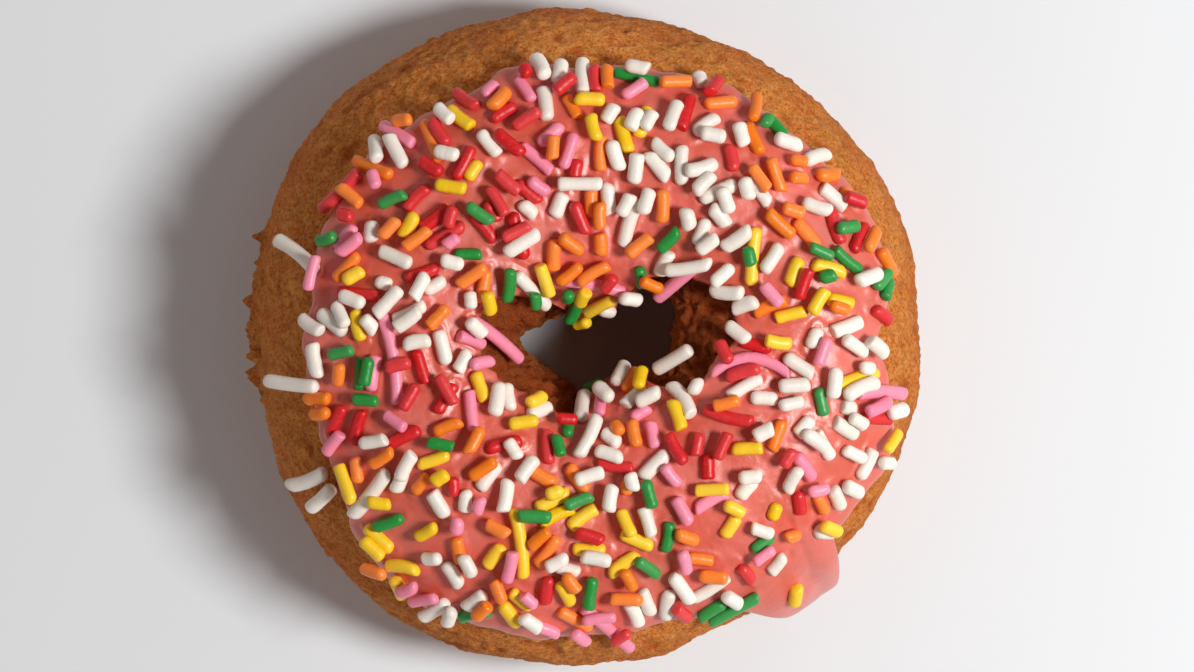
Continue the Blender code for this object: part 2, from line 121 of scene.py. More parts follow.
ICING_GAP = 0.0004
ICING_EDGE = math.radians(4.5)
ICING_EDGE_THICK = 0.4
ICING_OVER_NECK = math.radians(14)
ICING_OVER_START = 0.003

# The run of icing that hangs over the rim
DRIP_ANGLE = math.radians(311.0)
DRIP_WIDTH_BEFORE = math.radians(14)
DRIP_WIDTH_AFTER = math.radians(8.5)
DRIP_THICK = 0.0042
DRIP_FALL = math.radians(52)
DRIP_LENGTH = math.radians(50)
DRIP_FLATNESS = 1.4
DRIP_FLARE = 1.5

# Sprinkles: rods of sugar
SPRINKLE_RADIUS = 0.00095
SPRINKLE_SUNK = 0.00035
SPRINKLE_COUNT = 520
SPRINKLE_SEED = 11
STEEPEST = 0.75
LOWEST_BED = 0.3
LENGTHS_MM = ((0.03, 5.2, 7.0), (0.30, 4.0, 5.0), (0.44, 3.0, 4.0), (0.23, 2.1, 3.0))
AXIS_POINTS = 5
LEAST_BOW = 0.0001
CLOSEST = 0.0016
NEAR = 0.012
NEAREST_HOLE = 0.004
FARTHEST = 0.045
EDGE_MARGIN = 0.0002
BED_STEPS = 3
LIFT_STEP = 0.0003
LIFTS = 6
LOWER_END = 0.4
TRIES = 40

# Sprinkles that stand out: their colour, the plan of their two ends from the middle of the
# hole, and how far they bow to the left of that line, in mm
PLACED = (
    ("white", 7.5, -4.6, 12.1, -1.3, 0), ("white", 9.4, -6.2, 12.0, -10.2, 0.5),
    ("pink", 0.9, -6.1, 0, -10.4, 0), ("pink", 6.3, -9.3, 3.8, -10.8, 0),
    ("white", -11.7, 8.9, -7.7, 4.9, 0), ("yellow", -16.9, -4.4, -15.3, -8.4, 0),
    ("white", -8, 32.9, -7.3, 28.5, 0), ("yellow", 2, 28.9, 3.6, 24.3, 0),
    ("red", 11.7, 31.6, 10.4, 27.2, 0), ("pink", -10.9, 25.2, -6.7, 21.9, 0),
    ("white", 4.9, 18.3, 2.7, 12.3, 0), ("orange", 18.9, 28, 20.7, 24, 0),
    ("white", 12.7, 18.3, 17.5, 20.3, 0), ("white", 19.1, 20.9, 21.7, 17.6, 0),
    ("orange", 21.3, 16.5, 24.9, 13.2, 0), ("red", 29.7, 16.9, 31.1, 12.3, 0),
    ("pink", -28.9, 3.6, -26.8, -8.7, 0.6), ("pink", -17.3, 2.9, -11.3, -3.5, 0),
    ("pink", 14.3, -4.8, 24.4, -4.8, 2.2), ("yellow", 20.1, 14.7, 19.6, 6.9, 0),
    ("yellow", -11.6, -22.1, -10.3, -31.2, 0), ("pink", -5.3, 8.3, 2.7, 6.7, 0),
    ("pink", 7.1, 6.3, 12.4, 9.9, 0), ("white", -42.3, 12.9, -37.4, 8.8, 0),
    ("white", -43.8, -5.3, -37.2, -6, 0), ("white", -40.8, -19.1, -35.9, -17.2, 0),
    ("white", -38.2, -22.1, -35, -19.2, 0), ("pink", -2.6, -34.8, 3.5, -40, 0),
    ("green", 13.7, -36.5, 20.1, -33.3, 0), ("white", -32.7, -23.1, -27.9, -17.1, 0),
    ("orange", -0.3, 26.5, -0.3, 22, 0), ("orange", -1.5, 19.9, -1.5, 16, 0),
    ("white", -6, 20.5, -0.1, 20.5, 0), ("pink", 33.2, -7.3, 39.2, -7.3, 0.4),
    ("white", 11.3, -34, 16.4, -30.7, 0), ("red", -36.4, 16.5, -31.6, 21.6, 0),
    ("orange", -32.1, 22.9, -27.3, 21.1, 0), ("orange", -23.3, 28.3, -21.2, 23.2, 0),
    ("white", -2.9, 36.2, -2.9, 31.6, 0), ("white", -1.9, -5.7, -2.5, -11.3, 0),
    ("yellow", 25.2, -31.9, 25.2, -35.2, 0))

# Barer icing: plan of its middle from the middle of the hole and its radius, in mm, and the
# share of sprinkles that it keeps
BARE_MM = ((-19.5, -26.0, 8.0, 0.12), (20.0, -24.0, 8.5, 0.15), (7.0, 31.0, 6.0, 0.45),
           (31.0, -16.0, 7.0, 0.35), (30.0, 1.0, 6.0, 0.5), (27.0, -32.0, 6.0, 0.2))

# Share of each colour in the jar, and drifts of one colour: the plan of a drift's middle
# from the middle of the hole, its radius in mm and the share of sprinkles that it colours
COLOURS = ("white", "red", "orange", "pink", "yellow", "green")
COLOUR_SHARES = (0.32, 0.13, 0.16, 0.12, 0.15, 0.12)
DRIFTS = (("red", -12.0, 29.5, 4.0, 0.7), ("red", -17.0, 20.0, 8.5, 0.5),
          ("red", -21.0, -4.0, 5.0, 0.4), ("red", 13.5, -12.5, 4.5, 0.6),
          ("yellow", 1.0, -27.0, 5.5, 0.55), ("yellow", -26.0, -31.0, 6.0, 0.35),
          ("orange", -1.0, 11.0, 6.0, 0.4), ("orange", -37.0, -9.6, 4.0, 0.6),
          ("orange", 26.0, 24.0, 4.5, 0.5), ("green", -39.5, -14.3, 3.0, 0.7),
          ("green", 22.0, 25.0, 4.0, 0.35), ("green", 31.0, 14.0, 4.0, 0.4),
          ("white", 31.0, -7.0, 9.0, 0.8), ("white", 10.0, 20.0, 9.0, 0.5),
          ("white", 3.0, -13.0, 6.0, 0.55), ("pink", -8.0, 23.0, 4.0, 0.5))
COLOUR_SEED = 5

# Crust: its crags, the torn crumb beside the hole, and how far up its sides it is darker
CRAG_HEIGHT = 0.3
CRAG_REACH = 0.42
CRAG_ROUGH = 3600
TORN_EDGE = math.radians(5)
OUT_OF_HOLE = math.radians(212)
DARKER_BELOW = 0.75
CRUST_PATCH = 0.005
FINE_GRAIN = 0.42
GRAIN_BUMP = 0.0009

# Relief of the crust: how much each kind of roughness gives, its size where it has its own,
# and how the painted shade in its pits and the darker patches follow from it
FINE_SHARE = 1.3
CRUMB_SHARE = 1.0
LUMP_SHARE = 1.3
PORE_SHARE = 1.8
TORN_ROUGH = 1.6
CRUMB_GRAINS = 1.7
PORE_GRAINS = 2.4
PORES_FROM = 0.3
PORE_GAIN = 2.5
LUMP_SIZE = 0.0048
PIT_SHADE_FROM_PORES = 0.9
PIT_SHADE_FROM_GRAIN = 0.5
PIT_SHADE_FROM_CRUMBS = 0.6
DARK_PATCH = 0.006
DARK_PATCHINESS = 0.5
DARK_ON_TOP = 0.25
DARK_IN_HOLE = 0.5

# Icing: waves along its edge as share, count and shift, wrinkled and thin places, bubbles
EDGE_RIPPLE = math.radians(0.6)
EDGE_RIPPLES = ((1.0, 19, 1.0), (0.7, 37, 2.0), (0.5, 61, 0.0))
WRINKLED_MM = ((29.0, -5.0, 10.0), (21.0, -29.0, 7.0))
WRINKLE = 0.7
BUBBLES_MM = ((27.1, -21.7, 1.3), (24.0, -27.5, 0.8), (-19.0, -24.0, 0.9))
BUBBLE_DEPTH = 0.0004
THIN_MM = (6.7, -30.4, 2.0)
ICING_SUNK = 0.0002
FILLET_POINTS = 12
FILLET_REACH = 0.0004
ICING_CLOUD = 0.008
ICING_DIMPLE = 0.0016
DIMPLE_DEPTH = 0.0002
WAVE_SIZE = 0.008
SMALL_WAVE_SIZE = 0.0032
SMALL_WAVE_SHARE = 0.5
WRINKLE_SIZE = 0.0024
FLAT_AT_EDGE = 0.05
THIN_AT_EDGE = 0.03
THIN_SPOT_SHARE = 0.8
THIN_EDGE_SHARE = 0.55

# Sprinkles: their ends, how they bend, and the girth of each colour
TIP_WIDTHS = (0.15, 0.3, 0.6)
TIP_SHARES = (0.5, 0.3, 0.2)
TIP_BULGE = 0.03
UNEVEN_CUT = 0.16
UNEVEN_BOW = 0.00012
USUAL_LENGTH = 0.004
FIRST_SPRINKLE = 1000
SUGAR_GRAIN = 0.0006
SUGAR_BUMP = 0.00005
GIRTHS = {"white": 1.03, "red": 0.92, "orange": 0.94, "pink": 0.9, "yellow": 0.96, "green": 0.88}

# Studio: a large light at the right and a little below in plan, over a wide board
FLOOR_SIZE = 6.0
KEY_AZIMUTH = math.radians(-8)
KEY_ELEVATION = math.radians(55)
KEY_DISTANCE = 0.67
KEY_SIZE = 0.18
KEY_TINT = (1.0, 0.99, 0.975)
FILL_TINT = (1.0, 0.89, 0.85)
DIM_FROM = 0.45
DIMMEST = 0.12

# The picture's frame: its width in pixels, the pixels in a millimetre at the rim's height,
# and how far right of and below its middle the hole's middle is, in pixels
SENSOR_MM = 36
FRAME_WIDTH = 1194
PIXELS_PER_MM = 7.5
HOLE_RIGHT = 5.5
HOLE_BELOW = 3

# Grids of the meshes. The crust has two sets of rows, with more columns where it shows.
SLOPE_STEP = 0.02
OUTER_COLUMNS = 640
OUTER_ROWS = 100
OUTER_FROM = math.radians(-80)
OUTER_TO = math.radians(60)
INNER_COLUMNS = OUTER_COLUMNS // 2
INNER_ROWS = ((62, 100, 8), (100, 212, 62), (212, 279, 16))
ICING_COLUMNS = 600
ICING_TOP_ROWS = 146
ICING_UNDER_ROWS = 6
SIDES = 14
END_RINGS = 5
MIDDLE_RINGS = 6


def linear(code):
    """An sRGB hex colour as linear red, green and blue."""
    values = [int(code[i:i + 2], 16) / 255 for i in (1, 3, 5)]
    return tuple(v / 12.92 if v <= 0.04045 else ((v + 0.055) / 1.055) ** 2.4 for v in values)


def length_setting(name, description, default):
    return FloatProperty(name=name, description=description, default=default,
                         unit="LENGTH", subtype="DISTANCE", precision=5)


def colour_setting(name, description, code):
    return FloatVectorProperty(name=name, description=description, default=linear(code),
                               subtype="COLOR", size=3, min=0, max=1)


class CrustSettings(PropertyGroup):
    # A paler copy of this brown is painted on the crumbs' tips as highlight
    light: colour_setting("Light crust", "Golden brown of the crust's high places", "#FFAB42")
    middle: colour_setting("Middle crust", "Brown between its crumbs", "#FF9434")
    # The dark brown is also painted into the pits and between the crumbs as shade, and darkens the
    # sides
    dark: colour_setting("Dark crust", "Brown of the fried rim and of the pits", "#BC5016")
    crumb: colour_setting("Crumb", "Torn, moist crumb beside the hole", "#863011")
    grain: length_setting("Grain size", "Width of the crumbs that make the crust rough", 0.0011)
    relief: length_setting("Relief", "Depth of the crust's rough surface", 0.0002)


class IcingSettings(PropertyGroup):
    colour: colour_setting("Icing", "Salmon pink of the set icing", "#D85944")
    thin_colour: colour_setting("Thin icing", "Icing where the cake shows through it", "#B95F42")
    waves: length_setting("Waves", "Height of the slow waves in the icing", 0.00018)
    fillet: length_setting("Fillet", "Rise of the icing against each sprinkle", 0.00022)
    roughness: FloatProperty(name="Roughness", description="Roughness of the sugar skin",
                             default=0.38, min=0, max=1, subtype="FACTOR")


class SprinkleSettings(PropertyGroup):
    white: colour_setting("White", "Colour of the white sprinkles", "#F4ECE1")
    red: colour_setting("Red", "Colour of the red sprinkles", "#DC0F18")
    orange: colour_setting("Orange", "Colour of the orange sprinkles", "#FF8202")
    pink: colour_setting("Pink", "Colour of the pink sprinkles", "#FF8FAC")
    yellow: colour_setting("Yellow", "Colour of the yellow sprinkles", "#FFD000")
    green: colour_setting("Green", "Colour of the green sprinkles", "#149434")
    count: IntProperty(name="Count", description="How many sprinkles of the jar stay on",
                       default=600, min=60, max=600)
    roughness: FloatProperty(name="Roughness", description="Roughness of the pressed sugar",
                             default=0.4, min=0, max=1, subtype="FACTOR")


class StageSettings(PropertyGroup):
    floor: colour_setting("Floor", "Pale floor under the doughnut", "#E4E9ED")
    distance: length_setting("Camera height", "Height of the camera over the floor", 1.2)
    key_power: FloatProperty(name="Key light", description="Power of the soft light at the right",
                             default=4.05, min=0, unit="POWER")
    fill: FloatProperty(name="Fill", description="Strength of the light from all round",
                        default=0.46, min=0)


def ring_value(values_mm, angle):
    """A smooth closed curve through equally spaced values, in metres, at angles in radians."""
    values = np.asarray(values_mm, float) * MM
    place = np.asarray(angle, float) / FULL % 1.0 * len(values)
    step = np.floor(place).astype(int)
    part = place - step
    a, b, c, d = (values[(step + k) % len(values)] for k in (-1, 0, 1, 2))
    cubic = 2 * a - 5 * b + 4 * c - d + part * (3 * (b - c) + d - a)
    return b + part * (c - a + part * cubic) / 2


def rim_distance(angle):
    """How far the rim is from the hole's middle, along a ray to the ellipse and its swells."""
    across, along = np.cos(angle), np.sin(angle)
    flat = (across / RIM_HALF_WIDTH) ** 2 + (along / RIM_HALF_DEPTH) ** 2
    lean = along * RIM_UP / RIM_HALF_DEPTH ** 2 - across * RIM_LEFT / RIM_HALF_WIDTH ** 2
    inside = 1 - (RIM_LEFT / RIM_HALF_WIDTH) ** 2 - (RIM_UP / RIM_HALF_DEPTH) ** 2
    distance = (lean + np.sqrt(lean ** 2 + flat * inside)) / flat
    for middle, width, height in RIM_SWELLS:
        away = (np.degrees(angle) - middle + 180) % 360 - 180
        distance = distance + height * MM * np.exp(-(away / width) ** 2)
    return distance


def hole_middle():
    """Where the hole's middle is, so that the outline's box is centred on the origin."""
    angle = np.linspace(0, FULL, 720, endpoint=False)
    rim = rim_distance(angle)
    x, y = rim * np.cos(angle), rim * np.sin(angle)
    return -(x.max() + x.min()) / 2, -(y.max() + y.min()) / 2


HOLE_X, HOLE_Y = hole_middle()


def swell(x, y, z):
    """Slow unevenness of the crust, between about -1 and 1."""
    total = 0
    for k in range(SWELLS):
        finer = 1 + 0.4 * k
        along = x * math.cos(SWELL_TURN * k) + y * math.sin(SWELL_TURN * k) + SWELL_LEAN * z
        total = total + np.sin(along * FULL * finer / SWELL_LENGTH + k) / finer
    return total / 2


def section_sizes(angle):
    """Radii of the neck, the crown and the rim at each angle."""
    rim, neck = rim_distance(angle), ring_value(NECK_MM, angle)
    return neck, neck + CROWN_SHARE * (rim - neck), rim


def crust(angle, turn):
    """Points on the skin of the cake."""
    neck, crown, rim = section_sizes(angle)
    side, up = np.cos(turn), np.sin(turn)
    power = np.where(up < 0, UNDER_POWER, np.where(side > 0, OUTER_POWER, INNER_POWER))
    reach = np.where(side > 0, rim - crown, crown - neck)
    radius = crown + np.sign(side) * reach * np.abs(side) ** (2 / power)
    neck_height = NECK_HEIGHT + NECK_TILT * np.cos(angle - NECK_HIGH)
    waist = np.where(side > 0, WAIST, neck_height)
    rise = np.where(up > 0, HEIGHT - waist, waist * (1 + PRESSED_SHARE))
    z = waist + np.sign(up) * rise * np.abs(up) ** (2 / power)
    x, y = radius * np.cos(angle), radius * np.sin(angle)
    across = np.abs(np.angle(np.exp(1j * (angle - CREASE_ANGLE)))) * radius / CREASE_HALF_WIDTH
    shallow = np.clip((CREASE_END - radius) / (CREASE_END - neck), 0, 1)
    out = SWELL_HEIGHT * swell(x, y, z) - CREASE_DEPTH * shallow * np.exp(-across ** 2)
    radius = radius + out * side
    z = np.maximum(z + out * up, 0)
    return np.stack([HOLE_X + radius * np.cos(angle), HOLE_Y + radius * np.sin(angle), z], -1)


def crust_out(angle, turn):
    """The direction that faces away from the cake at each point of its skin."""
    round_hole = crust(angle + SLOPE_STEP, turn) - crust(angle - SLOPE_STEP, turn)
    round_section = crust(angle, turn + SLOPE_STEP) - crust(angle, turn - SLOPE_STEP)
    out = np.cross(round_hole, round_section)
    return out / np.linalg.norm(out, axis=-1, keepdims=True)


def turn_at(angle, radius):
    """The turn, over the top, at which the skin is this far from the hole's middle."""
    neck, crown, rim = section_sizes(angle)
    outside = radius > crown
    share = np.abs(radius - crown) / np.where(outside, rim - crown, crown - neck)
    quarter = np.arccos(np.clip(share, 0, 1) ** (np.where(outside, OUTER_POWER, INNER_POWER) / 2))
    return np.where(outside, quarter, math.pi - quarter)


def drip(angle):
    """1 in the run of icing over the rim, 0 away from it."""
    off = np.angle(np.exp(1j * (angle - DRIP_ANGLE)))
    off = np.abs(off) / np.where(off < 0, DRIP_WIDTH_BEFORE, DRIP_WIDTH_AFTER)
    return np.clip(1 - off ** DRIP_FLATNESS, 0, 1) ** DRIP_FLARE


def icing_edges(angle):
    """Turns of the icing's outer and inner edges."""
    outer = turn_at(angle, ring_value(ICING_OUTER_MM, angle)) - DRIP_FALL * drip(angle)
    wanted = ring_value(ICING_INNER_MM, angle)
    over = np.clip((section_sizes(angle)[0] - wanted) / ICING_OVER_START, 0, 1)
    return outer, turn_at(angle, wanted) + ICING_OVER_NECK * over


def icing_thickness(angle, turn, outer, inner):
    """Thickness of the icing, rounded off at its two edges and beaded at the end of the drip."""
    near = np.clip(np.minimum(turn - outer, inner - turn) / ICING_EDGE, 0, 1)
    rounded = ICING_EDGE_THICK + (1 - ICING_EDGE_THICK) * np.sqrt(1 - (1 - near) ** 2)
    bead = drip(angle) * np.clip(1 - (turn - outer) / DRIP_LENGTH, 0, 1)
    return (ICING_THICK + (DRIP_THICK - ICING_THICK) * bead) * rounded


def bed(x, y):
    """Top of the icing, or of the bare crust, under a place in plan, and which way it faces."""
    from_x, from_y = x - HOLE_X, y - HOLE_Y
    angle, radius = np.arctan2(from_y, from_x), np.hypot(from_x, from_y)
    outer, inner = icing_edges(angle)
    wanted = radius
    for _ in range(BED_STEPS):
        turn = np.maximum(turn_at(angle, wanted), np.minimum(outer, LOWEST_BED))
        iced = (turn > outer) & (turn < inner)
        lift = ICING_GAP + np.where(iced, icing_thickness(angle, turn, outer, inner), 0)
        out = crust_out(angle, turn)
        point = crust(angle, turn) + lift[..., None] * out
        reached = np.hypot(point[..., 0] - HOLE_X, point[..., 1] - HOLE_Y)
        wanted = wanted + radius - reached
    return point, out, iced


def bend_axis(ends, sideways):
    """Points along the axis of each sprinkle, which bows sideways in its middle."""
    along = np.linspace(0, 1, AXIS_POINTS)[:, None]
    first, second = ends[..., 0:1, :], ends[..., 1:2, :]
    return first + along * (second - first) + 4 * along * (1 - along) * sideways[..., None, :]


def lay(start, end, bow):
    """Axis and upward direction of sprinkles that lie on their bed between two places in plan."""
    spots = np.stack([start, end, (start + end) / 2], -2)
    points, out, iced = bed(spots[..., 0], spots[..., 1])
    sunk = np.where(iced, SPRINKLE_SUNK, 0)[..., None]
    points = points + out * (SPRINKLE_RADIUS - sunk)
    ends, up = points[..., :2, :], out[..., 2, :]
    run = np.linalg.norm(end - start, axis=-1)
    fall = ends[..., 0, 2] - ends[..., 1, 2]
    ends[..., 1, 2] += np.maximum(fall - STEEPEST * run, 0)
    ends[..., 0, 2] += np.maximum(-fall - STEEPEST * run, 0)
    crown = ((points[..., 2, :] - ends.mean(-2)) * up).sum(-1)
    ends = ends + (np.maximum(crown, 0)[..., None] * up)[..., None, :]
    sideways = np.cross(up, ends[..., 1, :] - ends[..., 0, :])
    sideways = sideways / np.linalg.norm(sideways, axis=-1, keepdims=True)
    return bend_axis(ends, sideways * np.asarray(bow)[..., None]), up


def settle(axis, up, taken):
    """The sprinkle's axis, lifted so that it rests on those already there, or None."""
    along = np.linspace(0, 1, AXIS_POINTS)[:, None]
    near = taken[np.linalg.norm(taken - axis[2], axis=1) < NEAR]
    for lift in np.arange(LIFTS) * LIFT_STEP:
        for first, second in ((lift, LOWER_END * lift), (LOWER_END * lift, lift), (lift, lift)):
            moved = axis + (first + (second - first) * along) * up
            apart = np.linalg.norm(moved[:, None] - near[None], axis=2)
            if not len(near) or apart.min() > CLOSEST:
                return moved
    return None


def sprinkle_lengths(draw):
    """Lengths from the longest down, in the shares that a shaken jar gives."""
    drawn = [draw.uniform(low, high, round(share * SPRINKLE_COUNT))
             for share, low, high in LENGTHS_MM]
    return -np.sort(-np.concatenate(drawn)) * MM


def candidates(draw, length):
    """The places in plan and the headings to try for each length, and which may be used."""
    shape = (len(length), TRIES)
    angle = draw.uniform(0, FULL, shape)
    radius = np.sqrt(draw.uniform(NEAREST_HOLE ** 2, FARTHEST ** 2, shape))
    heading = draw.uniform(0, math.pi, shape)
    chance = draw.random(shape)
    inner = np.maximum(ring_value(ICING_INNER_MM, angle), ring_value(NECK_MM, angle) - MM)
    allowed = (radius > inner) & (radius < ring_value(ICING_OUTER_MM, angle) - EDGE_MARGIN)
    x, y = radius * np.cos(angle), radius * np.sin(angle)
    for bare_x, bare_y, size, kept in BARE_MM:
        inside = np.hypot(x - bare_x * MM, y - bare_y * MM) < size * MM
        allowed &= ~inside | (chance < kept)
    middle = np.stack([HOLE_X + x, HOLE_Y + y], -1)
    half = np.stack([np.cos(heading), np.sin(heading)], -1) * length[:, None, None] / 2
    return middle, half, allowed


@cache
def scatter_sprinkles():
    """Every sprinkle as its axis and upward direction, the placed ones and then the long ones first."""
    draw = np.random.default_rng(SPRINKLE_SEED)
    placed = np.array([row[1:] for row in PLACED]) * MM
    hole = np.array([HOLE_X, HOLE_Y])
    axes, ups = lay(hole + placed[:, :2], hole + placed[:, 2:4], placed[:, 4])
    laid, taken = [], np.zeros((0, 3))
    for axis, up in zip(axes, ups):
        rested = settle(axis, up, taken)
        laid.append((axis if rested is None else rested, up))
        taken = np.concatenate([taken, laid[-1][0]])

    length = sprinkle_lengths(draw)
    middle, half, allowed = candidates(draw, length)
    axes, ups = lay(middle - half, middle + half, np.zeros(allowed.shape))
    reached = np.linalg.norm(axes[..., -1, :] - axes[..., 0, :], axis=-1)
    half = half * (length[:, None] / reached)[..., None]
    axes, ups = lay(middle - half, middle + half, np.zeros(allowed.shape))
    for k in range(len(length)):
        for j in np.flatnonzero(allowed[k]):
            rested = settle(axes[k, j], ups[k, j], taken)
            if rested is not None:
                laid.append((rested, ups[k, j]))
                taken = np.concatenate([taken, rested])
                break
    return laid


def colour_of_each(laid):
    """Names of the sprinkles' colours: the placed ones' own, then by drift or by share."""
    draw = np.random.default_rng(COLOUR_SEED)
    names = [row[0] for row in PLACED]
    for axis, _ in laid[len(names):]:
        x, y = (axis[2][0] - HOLE_X) / MM, (axis[2][1] - HOLE_Y) / MM
        name = draw.choice(COLOURS, p=COLOUR_SHARES)
        chance = draw.random()
        for drift, at_x, at_y, size, share in DRIFTS:
            if math.hypot(x - at_x, y - at_y) < size and chance < share:
                name = drift
        names.append(str(name))
    return names


def noise_at(points, size, basis="PERLIN_ORIGINAL", offset=0.0):
    """Noise of this size, in metres, at each point."""
    flat = (points.reshape(-1, 3) / size + offset).tolist()
    values = [noise.noise(point, noise_basis=basis) for point in flat]
    return np.array(values).reshape(points.shape[:-1])


def grid_faces(first, columns, rows):
    """Quads over a grid whose columns close on themselves, from vertex number first."""
    index = first + np.arange(columns * rows).reshape(rows, columns)
    right = np.roll(index, -1, 1)
    return np.stack([index[:-1], right[:-1], right[1:], index[1:]], -1).reshape(-1, 4).tolist()


def joining_faces(fine, coarse, fine_above):
    """Triangles between a row of vertices and one with half as many."""
    faces, count = [], len(coarse)
    for k in range(count):
        low, high = coarse[k], coarse[(k + 1) % count]
        start, between, end = fine[2 * k], fine[2 * k + 1], fine[(2 * k + 2) % len(fine)]
        faces += [(low, between, start), (low, high, between), (high, end, between)]
    return faces if fine_above else [face[::-1] for face in faces]


def new_mesh(name, points, faces):
    mesh = bpy.data.meshes.new(name)
    mesh.from_pydata(np.asarray(points).reshape(-1, 3).tolist(), [], faces)
    mesh.shade_smooth()
    return mesh


def add_values(mesh, name, values):
    """Stores one number for each vertex, for the material to read."""
    attribute = mesh.attributes.new(name, "FLOAT", "POINT")
    attribute.data.foreach_set("value", np.asarray(values, np.float32).ravel())


def add_piece(name, mesh, material):
    """An object of the doughnut, which rides on its one body."""
    obj = bpy.data.objects.new(name, mesh)
    bpy.context.scene.collection.objects.link(obj)
    mesh.materials.append(material)
    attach(obj, "root")
    return obj


def add_node(tree, kind, values=None, **settings):
    """A node with its settings, and a value for each socket or the socket that feeds it."""
    node = tree.nodes.new(kind)
    for name, value in settings.items():
        setattr(node, name, value)
    for socket, value in (values or {}).items():
        if isinstance(value, bpy.types.NodeSocket):
            tree.links.new(value, node.inputs[socket])
        else:
            node.inputs[socket].default_value = value
    return node


def new_material(name, **values):
    """A material, its node tree and its shader, with the shader's even values."""
    material = bpy.data.materials.new(name)
    material.use_nodes = True
    shader = material.node_tree.nodes["Principled BSDF"]
    for socket, value in values.items():
        shader.inputs[socket.replace("_", " ")].default_value = value
    return material, material.node_tree, shader


def paler(colour, share):
    return tuple(c + (1 - c) * share for c in colour)


def fried_crust(settings):
    """Cake fried in oil: a dry skin of fine crumbs, with no gloss but on the crumbs' tips.

    It is golden on the top, redder and darker down its sides and in patches, and darkest in its
    pits, where shade is painted into the colour. Beside the hole the torn crumb is a darker,
    moister brown.
    """
    material, tree, shader = new_material("fried cake crust", Roughness=0.8, IOR=1.45,
                                          Specular_IOR_Level=0.2)
    place = add_node(tree, "ShaderNodeTexCoord").outputs["Object"]
    patches = add_node(tree, "ShaderNodeTexNoise", {
        "Vector": place, "Scale": 1 / CRUST_PATCH, "Detail": 3.0}).outputs[0]
    grain_glints_and_shade = add_node(tree, "ShaderNodeTexNoise", {
        "Vector": place, "Scale": 1 / (FINE_GRAIN * settings.grain), "Detail": 4.0,
        "Roughness": 0.75}).outputs[0]
    layers = ((patches, 0.38, 0.62, 0.75, (*settings.light, 1)),
              # paler where the grain stands highest under the bump: painted highlight
              (grain_glints_and_shade, 0.5, 0.58, 0.95, (*paler(settings.light, 0.12), 1)),
              # darker where the grain sinks under the bump: painted shade between the crumbs
              (grain_glints_and_shade, 0.48, 0.4, 0.65, (*settings.dark, 1)),
              ("torn", 0, 1, 0.85, (*settings.crumb, 1)),
              # painted shade: the dark brown fills the pits
              ("pit", 0, 1, 0.75, (*settings.dark, 1)),
              # darker brown down the sides and in random patches
              ("fried", 0, 1, 0.4, (*settings.dark, 1)))
    colour = (*settings.middle, 1)
    for source, low, high, most, painted in layers:
        if isinstance(source, str):
            source = add_node(tree, "ShaderNodeAttribute", attribute_name=source).outputs["Fac"]
        share = add_node(tree, "ShaderNodeMapRange", {
            "Value": source, "From Min": low, "From Max": high, "To Max": most}).outputs[0]
        colour = add_node(tree, "ShaderNodeMix", {0: share, 6: colour, 7: painted},
                          data_type="RGBA").outputs[2]
    tree.links.new(colour, shader.inputs["Base Color"])
    bump = add_node(tree, "ShaderNodeBump", {"Height": grain_glints_and_shade, "Distance": GRAIN_BUMP})
    tree.links.new(bump.outputs[0], shader.inputs["Normal"])
    return material


def sugar_icing(settings):
    """Icing sugar and water, poured and set: a thin smooth skin, glossy and a little see-through.

    It shows soft wide highlights, small dimples, and the brown of the cake at its thin edges.
    """
    material, tree, shader = new_material(
        "poured sugar icing", IOR=1.49, Subsurface_Weight=0.2, Subsurface_Scale=0.0012,
        Subsurface_Radius=(1.0, 0.45, 0.35), Coat_Weight=1.0, Coat_Roughness=0.45)
    place = add_node(tree, "ShaderNodeTexCoord").outputs["Object"]
    clouds = add_node(tree, "ShaderNodeTexNoise", {
        "Vector": place, "Scale": 1 / ICING_CLOUD, "Detail": 3.0}).outputs[0]
    dimples = add_node(tree, "ShaderNodeTexNoise", {
        "Vector": place, "Scale": 1 / ICING_DIMPLE, "Detail": 2.0}).outputs[0]
    thin = add_node(tree, "ShaderNodeAttribute", attribute_name="thin").outputs["Fac"]
    colour = (*settings.colour, 1)
    for source, low, high, most, painted in (
            (clouds, 0.4, 0.75, 0.5, paler(settings.colour, 0.16)),
            (clouds, 0.5, 0.25, 0.35, settings.thin_colour),
            (thin, 0, 1, 1, settings.thin_colour)):
        share = add_node(tree, "ShaderNodeMapRange", {
            "Value": source, "From Min": low, "From Max": high, "To Max": most}).outputs[0]
        colour = add_node(tree, "ShaderNodeMix", {0: share, 6: colour, 7: (*painted, 1)[:4]},
                          data_type="RGBA").outputs[2]
    tree.links.new(colour, shader.inputs["Base Color"])
    rough = add_node(tree, "ShaderNodeMapRange", {
        "Value": clouds, "From Min": 0.3, "From Max": 0.7, "To Min": settings.roughness - 0.05,
        "To Max": settings.roughness + 0.12})
    tree.links.new(rough.outputs[0], shader.inputs["Roughness"])
    bump = add_node(tree, "ShaderNodeBump", {"Height": dimples, "Distance": DIMPLE_DEPTH})
    tree.links.new(bump.outputs[0], shader.inputs["Normal"])
    return material


